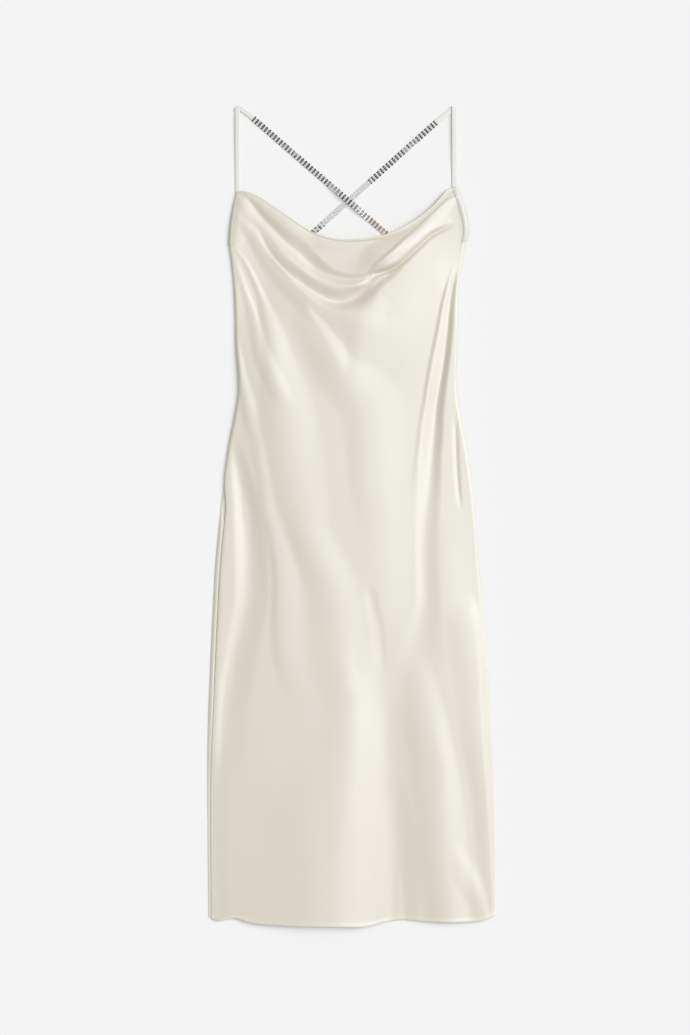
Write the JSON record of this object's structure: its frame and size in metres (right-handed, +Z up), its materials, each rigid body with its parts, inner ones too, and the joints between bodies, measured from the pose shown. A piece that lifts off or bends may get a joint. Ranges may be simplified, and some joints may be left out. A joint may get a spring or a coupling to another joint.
{
  "type": "slip dress",
  "caption": "Calf-length satin slip dress with a draped cowl neck and narrow straps that cross behind as rhinestone bands, laid flat on its back.",
  "frame": {"origin": "middle of the bounding box, on the surface the dress lies on", "axes": "+Y from the hem towards the straps, +X to the right as seen from the front, +Z up from the surface, out of the front panel"},
  "size_m": [0.4598, 1.3141, 0.0178],
  "materials": {
    "satin": "ivory bias-cut satin with a soft sheen",
    "binding": "the same satin, folded into a narrow stitched binding",
    "strap": "the same satin, folded into a flat narrow strap",
    "rhinestones": "clear faceted stones in silver-coloured cups, in rows"
  },
  "bodies": {
    "root": {"front_panel": "satin", "back_panel": "satin", "armhole_binding_left": "binding", "armhole_binding_right": "binding", "strap_left": "strap", "strap_right": "strap", "rhinestone_band_left": "rhinestones", "rhinestone_band_right": "rhinestones"}
  },
  "joints": []
}
